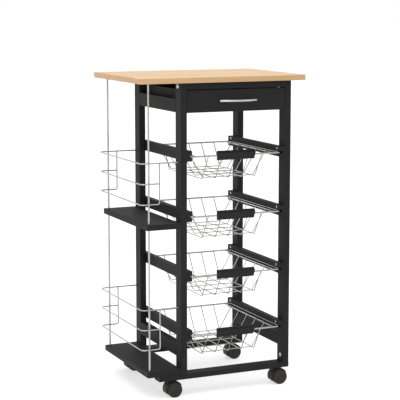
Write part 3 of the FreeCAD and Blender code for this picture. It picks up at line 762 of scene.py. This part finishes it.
def basket_wires(bm, level):
    """The rim, side rims, floor wires and cross wires of one basket, with their welds."""
    wire = wire_sizes()
    floor_wires, cross_wires = 5, 5
    floor_weld, cross_weld = 0.65, 0.55
    rim_bead, fine_bead, crossing_bead = wire.side_rim * 1.15, wire.fine * 1.05, wire.fine * 0.9
    fine_turn = (wire.fine_bend, BEND_STEPS)
    x0, x1, y0, y1, z = basket_frame(level)
    middle = (x0 + x1) / 2
    loop = [(middle, y0, z), (x1, y0, z), (x1, y1, z), (x0, y1, z), (x0, y0, z), (middle, y0, z)]
    bent_wire(bm, loop, wire.rim, (wire.rim_corner, BEND_STEPS), closed=True)
    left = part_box("runner_%d_left" % level)[1].x + wire.side_inset
    right = 2 * middle - left
    for x in (left, right):
        gap = wire.rim + WELD_GAP
        bent_wire(bm, [(x, y0 + gap, z), (x, y1 - gap, z)], wire.side_rim)
        for y in (y0 + wire.rim, y1 - wire.rim):
            weld(bm, Vector((x, y, z)), rim_bead)

    into, up, lean = wall_reach(wire.rim, wire.end_slope, wire.drop)
    low = z - wire.drop + wire.fine
    foot = into + (up + z - low) * lean
    floor_lines = [middle + wire.floor_width * (step / (floor_wires - 1) - 0.5)
                   for step in range(floor_wires)]
    for x in floor_lines:
        bent_wire(bm, [(x, y0 + into, z + up), (x, y0 + foot, low), (x, y1 - foot, low),
                       (x, y1 - into, z + up)], wire.fine, fine_turn)
        for y in (y0 + into * floor_weld, y1 - into * floor_weld):
            weld(bm, Vector((x, y, z + up * floor_weld)), fine_bead)

    over = z - wire.drop + 3 * wire.fine + WELD_GAP
    into, up, lean = wall_reach(wire.side_rim, middle - wire.floor_width / 2 - left, z - over)
    foot = into + (up + z - over) * lean
    for step in range(cross_wires):
        y = (y0 + y1) / 2 + (step - cross_wires // 2) * wire.cross_spacing
        bent_wire(bm, [(left + into, y, z + up), (left + foot, y, over), (right - foot, y, over),
                       (right - into, y, z + up)], wire.fine, fine_turn)
        for x in (left + into * cross_weld, right - into * cross_weld):
            weld(bm, Vector((x, y, z + up * cross_weld)), fine_bead)
        for x in floor_lines[1:-1]:
            weld(bm, Vector((x, y, (over + low) / 2)), crossing_bead)


class CART_OT_baskets(Operator):
    """Bends and welds the wires of the four baskets"""
    bl_idname = "cart.baskets"
    bl_label = "Wire baskets"

    def execute(self, context):
        for level in LEVELS:
            bm = bmesh.new()
            basket_wires(bm, level)
            make_piece(bm, "basket_%d_bent_wires" % level, "basket_%d" % level,
                       "Bright plating", ["basket_%d_wire" % level])
        return {"FINISHED"}


class CART_OT_basket_handles(Operator):
    """Gives the moulded handles of the baskets their plastic"""
    bl_idname = "cart.basket_handles"
    bl_label = "Basket handles"

    def execute(self, context):
        coat_nodes(["basket_%d_handle" % level for level in LEVELS], "Handle plastic")
        return {"FINISHED"}


def guard_wires(bm, node):
    """Three wires round a rack shelf: the lowest turns up at its ends to carry the others."""
    wire = wire_sizes()
    radius = wire.guard
    low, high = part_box(node)
    x_out, x_in = low.x + radius, high.x
    y0, y1 = low.y + radius, high.y - radius
    top = high.z - radius
    middle, bottom = top - wire.guard_spacing, top - 2 * wire.guard_spacing
    x_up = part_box("post_front_left")[0].x - wire.upright
    x_weld, stop = x_up - radius, top - radius
    corner, low_corner = (wire.guard_corner, BEND_STEPS), (wire.guard_corner, 8)
    up_turn, bead = (wire.guard_bend, BEND_STEPS), radius * 1.1

    def around(x_end, z):
        return [(x_end, y0, z), (x_out, y0, z), (x_out, y1, z), (x_end, y1, z)]

    bent_wire(bm, around(x_in, top), radius, corner)
    bent_wire(bm, around(x_weld, middle), radius, corner)
    upturned = [(x_up, y0, stop), *around(x_up, bottom), (x_up, y1, stop)]
    bent_wire(bm, upturned, radius, up_turn, low_corner, low_corner, up_turn)
    for y in (y0, y1):
        weld(bm, Vector((x_up, y, stop)), bead)
        weld(bm, Vector((x_weld, y, middle)), bead)


class CART_OT_rack_wires(Operator):
    """Makes the rods of the side rack and the wire guards round its two shelves"""
    bl_idname = "cart.rack_wires"
    bl_label = "Rack rods and guards"

    def execute(self, context):
        for level in ("upper", "lower"):
            bm = bmesh.new()
            node = "rack_guard_" + level
            guard_wires(bm, node)
            make_piece(bm, node + "_wires", "frame", "Bright plating", [node])
        low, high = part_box("rack_rods")
        radius, seat = wire_sizes().rod, wire_sizes().rod_seat
        stud, chamfer, length_up = radius * 0.7, radius * 0.2, high.z - low.z
        shelf_low, shelf_top = (face.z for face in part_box("rack_shelf_middle"))
        lower_end, upper_start = shelf_low + seat - low.z, shelf_top - seat - low.z
        upper = [(0.0, lower_end + chamfer), (stud, lower_end + chamfer), (stud, upper_start),
                 (radius, upper_start), (radius, length_up - chamfer), (radius - chamfer, length_up),
                 (0.0, length_up)]
        bm = bmesh.new()
        for y in (low.y + radius, high.y - radius):
            for outline in (rod_outline(radius, 0.0, lower_end), upper):
                lathe(bm, outline, Vector((low.x + radius, y, low.z)), Z, steps=24)
        make_piece(bm, "rack_rod_pair", "frame", "Bright plating", ["rack_rods"])
        return {"FINISHED"}


class CART_OT_fasteners(Operator):
    """Makes the bolts, barrel nuts and wood screws that hold the frame"""
    bl_idname = "cart.fasteners"
    bl_label = "Frame fasteners"

    def execute(self, context):
        lines = centre("post_front_left").y, centre("post_rear_left").y
        left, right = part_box("post_front_left")[0].x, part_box("post_front_right")[1].x
        inner_left, inner_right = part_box("post_front_left")[1].x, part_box("post_front_right")[0].x
        base_low, base_top = (face.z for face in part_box("base_rail_front"))
        rail_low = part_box("top_rail_front")[0].z
        bolt_line = centre("top_rail_front").z
        middle = centre("top_rail_front").x
        head, counterbore, nut_rise, inset, top_screw_half = 0.0025, 0.005, 0.018, 0.014, 0.080
        top_bolt, base_bolt, base_nut, top_nut = 0.018, 0.030, (0.006, 0.0155), (0.005, 0.015)
        runner_screw, cleat_screw, shelf_screw, base_screw, top_screw = 0.028, 0.022, 0.042, 0.025, 0.030

        bolts = bmesh.new()
        put(cap_bolt_pattern(top_bolt), bolts,
            pairs(lines, (left - head, X), (right + head, -X), z=bolt_line))
        post_middles = (centre("post_front_left").x, centre("post_front_right").x)
        put(cap_bolt_pattern(base_bolt), bolts,
            pairs(lines, *((x, Z) for x in post_middles), z=base_low + counterbore - head))
        make_piece(bolts, "socket_head_bolts", "frame", "Zinc plating", ["frame_bolts"])

        nuts = bmesh.new()
        put(barrel_nut_pattern(*base_nut), nuts,
            pairs(lines, (inner_left, -X), (inner_right, X), z=base_top + nut_rise))
        put(barrel_nut_pattern(*top_nut), nuts,
            pairs(lines, (inner_left + inset, Z), (inner_right - inset, Z), z=rail_low))
        make_piece(nuts, "slotted_barrel_nuts", "frame", "Zinc plating", ["barrel_nuts"])

        screws = bmesh.new()
        put(wood_screw_pattern(runner_screw), screws, runner_screw_spots(lines))
        put(wood_screw_pattern(cleat_screw), screws, cleat_screw_spots(lines))
        put(wood_screw_pattern(shelf_screw), screws,
            pairs(lines, (inner_left, -X), z=centre("rack_shelf_middle").z))
        rail_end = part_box("base_rail_front")[0].x
        put(wood_screw_pattern(base_screw), screws,
            pairs(lines, (rail_end + inset, Z), (left - inset, Z), z=base_low))
        put(wood_screw_pattern(top_screw), screws,
            pairs(lines, *((middle + side * top_screw_half, Z) for side in (-1, 1)), z=rail_low))
        make_piece(screws, "cross_head_screws", "frame", "Zinc plating", ["wood_screws"])
        return {"FINISHED"}


def pairs(lines, *ends, z):
    """Places at a height on the front and the rear line, for each (x, direction)."""
    return [(Vector((x, y, z)), run) for y in lines for x, run in ends]


def inner_faces(boards):
    """The faces of a pair of boards that look at each other, and the way into each board."""
    return (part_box(boards + "left")[1].x, -X), (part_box(boards + "right")[0].x, X)


def runner_screw_spots(lines):
    above_middle = 0.008
    spots = []
    for level in LEVELS:
        boards = "runner_%d_" % level
        spots += pairs(lines, *inner_faces(boards), z=centre(boards + "left").z + above_middle)
    return spots


def cleat_screw_spots(lines):
    inwards = 0.005
    lines = (lines[0] + inwards, lines[1] - inwards)
    return pairs(lines, *inner_faces("drawer_cleat_"), z=centre("drawer_cleat_left").z)


# ---- castors
def hood_cover(wheel_r):
    """The arched cover and the neck that joins it to the web."""
    neck_half, cover_half, neck_in, sharp_turn = 0.0060, 0.0155, 0.010, 0.9
    cover_in, cover_out = wheel_r + 0.001, wheel_r + 0.003
    start, end = math.radians(30), math.radians(205)
    half = [(neck_in, neck_half), (cover_in, neck_half), (cover_in, cover_half), (cover_out, cover_half)]
    outline = [(radius, -along) for radius, along in half] + half[::-1]
    bm = bmesh.new()
    out = Vector((math.cos(start), 0, math.sin(start)))
    verts = [bm.verts.new(out * radius + Y * along) for radius, along in outline]
    edges = [bm.edges.new(pair) for pair in zip(verts, verts[1:] + verts[:1])]
    last = swing(bm, edges, Vector(), -Y, end - start, steps=40)
    cap(bm, edges)
    cap(bm, last)
    bmesh.ops.recalc_face_normals(bm, faces=bm.faces)
    outer = [edge for edge in bm.edges if edge.calc_face_angle(0.0) > sharp_turn
             and min(vert.co.xz.length for vert in edge.verts) > cover_in - SAME_POINT]
    ease(bm, outer, 0.0006, segments=2)
    return bm


def hood_shells(trail, wheel_r):
    """The web, the cover with its neck and the stem boss, each a closed shell round the wheel's centre."""
    web_r, web_half, rim = 0.017, 0.0065, 0.0008
    web = [(0.0, -web_half), (web_r - rim, -web_half), (web_r, -web_half + rim),
           (web_r, web_half - rim), (web_r - rim, web_half), (0.0, web_half)]
    boss_r, chamfer, boss_height = 0.0063, 0.0006, 0.0457
    top = boss_height - wheel_r
    boss = [(0.0, 0.0), (boss_r, 0.0), (boss_r, top - chamfer), (boss_r - chamfer, top), (0.0, top)]
    return [lathed(web, Vector(), Y, steps=48), hood_cover(wheel_r),
            lathed(boss, Vector((-trail, 0, 0)), Z, steps=32)]


def hood_bores(trail, wheel_r):
    """Solids to take away: the stem's socket and the axle's bore."""
    socket_r, socket_height, socket_top = 0.00405, 0.0247, 0.04
    axle_r, axle_half = 0.00255, 0.03
    socket = rod_outline(socket_r, socket_height - wheel_r, socket_top)
    return [lathed(socket, Vector((-trail, 0, 0)), Z, steps=32),
            lathed(rod_outline(axle_r, -axle_half, axle_half), Vector(), Y, steps=32)]


def shell_object(bm):
    settle(bm)
    return linked_object(bm, "shell")


def fused(shells, bores):
    """One clean mesh from overlapping closed shells, less the bores."""
    bodies = [shell_object(bm) for bm in shells]
    tools = [shell_object(bm) for bm in bores]
    for operation, others in (("UNION", bodies[1:]), ("DIFFERENCE", tools)):
        for other in others:
            join = bodies[0].modifiers.new(operation.lower(), "BOOLEAN")
            join.operation = operation
            join.solver = "EXACT"
            join.object = other
    bpy.context.view_layer.update()
    graph = bpy.context.evaluated_depsgraph_get()
    mesh = bpy.data.meshes.new_from_object(bodies[0].evaluated_get(graph))
    for made in bodies + tools:
        bpy.data.objects.remove(made)
    return mesh


def wheel_outline(wheel_r):
    """One wheel from its inner side: hollow next to the hood, two tread grooves, a dished outer face."""
    bore_r, hub_r, inner, hollow, bore_end = 0.00252, 0.0060, 0.0070, 0.0150, 0.0180
    groove, groove_floor, groove_half = 0.0003, 0.0002, 0.0004
    bore = [(0.0, bore_end), (bore_r, bore_end)]
    inside = [(bore_r, inner), (hub_r, inner), (hub_r, hollow), (0.0180, hollow), (0.0180, inner),
              (wheel_r - 0.0016, inner), (wheel_r - 0.0005, 0.0076)]
    tread = [(wheel_r, 0.0088)]
    for line in (0.0115, 0.0152):
        tread += [(wheel_r, line - groove_half), (wheel_r - groove, line - groove_floor),
                  (wheel_r - groove, line + groove_floor), (wheel_r, line + groove_half)]
    tread += [(wheel_r, 0.0180), (wheel_r - 0.0006, 0.0193), (wheel_r - 0.0020, 0.0199)]
    face = [(wheel_r - 0.0034, 0.0200), (wheel_r - 0.0042, 0.0196), (wheel_r - 0.0050, 0.0192),
            (0.0085, 0.0190), (0.0078, 0.0192), (0.0073, 0.0198), (0.0062, 0.0200), (0.0, 0.0200)]
    return bore + inside + tread + face


class CART_OT_castors(Operator):
    """Makes the hoods, twin wheels, axles and stems of the four castors"""
    bl_idname = "cart.castors"
    bl_label = "Castors"

    def execute(self, context):
        castor = castor_sizes()
        hood = fused(hood_shells(castor.trail, castor.wheel), hood_bores(castor.trail, castor.wheel))
        wheels = bmesh.new()
        for side in (-1, 1):
            lathe(wheels, wheel_outline(castor.wheel), Vector(), Y * side, castor.steps)
        wheels = pattern_mesh(wheels)
        for corner in CORNERS:
            place = Matrix.Translation(centre("castor_%s_axle" % corner))
            for pattern, part, body in ((hood, "hood", "castor_"), (wheels, "wheels", "wheelset_")):
                bm = bmesh.new()
                stamp(bm, pattern, place)
                make_piece(bm, "castor_%s_moulded_%s" % (corner, part), body + corner,
                           "Castor plastic", ["castor_%s_%s" % (corner, part)], sharp=32.0)
        coat_nodes(["castor_%s_axle" % corner for corner in CORNERS], "Zinc plating")
        self.stems(castor)
        return {"FINISHED"}

    def stems(self, castor):
        low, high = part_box("castor_stems")
        collar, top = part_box("base_rail_front")[0].z - low.z, high.z - low.z
        stem_r, chamfer = 0.004, 0.0006
        collar_r, collar_high, ease_in, ease_up = 0.008, 0.002, 0.0002, 0.0003
        outline = [(0.0, 0.0), (stem_r - chamfer, 0.0), (stem_r, chamfer), (stem_r, collar - collar_high),
                   (collar_r - ease_in, collar - collar_high), (collar_r, collar - collar_high + ease_up),
                   (collar_r, collar), (stem_r, collar), (stem_r, top - chamfer),
                   (stem_r - chamfer, top), (0.0, top)]
        bm = bmesh.new()
        for corner in CORNERS:
            spot = centre("castor_%s_axle" % corner)
            lathe(bm, outline, Vector((spot.x - castor.trail, spot.y, low.z)), Z, steps=28)
        make_piece(bm, "castor_stem_set", "frame", "Zinc plating", ["castor_stems"])


# ---- stage
def floor_finish(tint, glow):
    """A plain pale floor that gives a little light of its own."""
    constants = {"Specular IOR Level": 0.1, "Emission Color": WHITE, "Emission Strength": glow}
    material, tree, shader, place = new_finish("Studio floor", constants)
    clouds = noise(tree, place, 1.3, 3.0)
    tree.links.new(mixed(tree, clouds, solid(tint), solid(tint, 0.985)), shader.inputs["Base Color"])
    tree.links.new(spread(tree, clouds, 0.3, 0.7, 0.75, 0.85), shader.inputs["Roughness"])
    return material


def soft_light(name, power, side, place, target):
    """A large square lamp that faces a point."""
    lamp = bpy.data.lights.new(name, "AREA")
    lamp.shape = "RECTANGLE"
    lamp.size = lamp.size_y = side
    lamp.energy = power
    made = bpy.data.objects.new(name, lamp)
    bpy.context.scene.collection.objects.link(made)
    made.location = place
    made.rotation_euler = (Vector(place) - Vector(target)).to_track_quat("Z", "Y").to_euler()


class CART_OT_stage(Operator):
    """Sets up the pale floor, the soft studio light and the camera"""
    bl_idname = "cart.stage"
    bl_label = "Studio"

    def execute(self, context):
        stage = context.scene.cart_stage
        bm = bmesh.new()
        bmesh.ops.create_grid(bm, x_segments=8, y_segments=8, size=30.0)
        floor = linked_object(bm, "studio_floor")
        floor.data.materials.append(floor_finish(stage.floor, stage.glow))

        world = bpy.data.worlds.new("Even white room")
        world.use_nodes = True
        room = world.node_tree.nodes["Background"]
        room.inputs["Color"].default_value = WHITE
        room.inputs["Strength"].default_value = stage.sky
        context.scene.world = world
        soft_light("key_softbox", stage.key, side=3.0, place=(-0.9, -1.1, 3.6), target=(0.0, 0.0, 0.4))

        lens = bpy.data.cameras.new("camera")
        lens.lens = stage.lens
        lens.sensor_width = 36.0
        camera = bpy.data.objects.new("camera", lens)
        context.scene.collection.objects.link(camera)
        camera.location = stage.place
        camera.rotation_euler = (math.pi / 2 - stage.tilt, 0.0, -stage.turn)
        context.scene.camera = camera
        context.scene.view_settings.view_transform = "Standard"
        return {"FINISHED"}


STEPS = (CART_OT_wooden_top, CART_OT_painted_boards, CART_OT_drawer_box, CART_OT_drawer_pull,
         CART_OT_baskets, CART_OT_basket_handles, CART_OT_rack_wires, CART_OT_fasteners,
         CART_OT_castors, CART_OT_stage)


class CART_PT_sidebar(Panel):
    """Lists the pieces of the cart"""
    bl_idname = "CART_PT_sidebar"
    bl_label = "Rolling kitchen cart"
    bl_space_type = "VIEW_3D"
    bl_region_type = "UI"
    bl_category = "Cart"

    def draw(self, context):
        for step in STEPS:
            self.layout.operator(step.bl_idname)
        for name in SETTINGS:
            column = self.layout.column(heading=name.split("_")[1].title())
            for field in SETTINGS[name].__annotations__:
                column.prop(getattr(context.scene, name), field)


CLASSES = (*SETTINGS.values(), *STEPS, CART_PT_sidebar)


def register():
    for item in CLASSES:
        bpy.utils.register_class(item)
    for name, group in SETTINGS.items():
        setattr(bpy.types.Scene, name, PointerProperty(type=group))


def unregister():
    for name in SETTINGS:
        delattr(bpy.types.Scene, name)
    for item in reversed(CLASSES):
        bpy.utils.unregister_class(item)


def main():
    register()
    for step in STEPS:
        section, name = step.bl_idname.split(".")
        getattr(getattr(bpy.ops, section), name)()


if __name__ == "__main__":
    main()
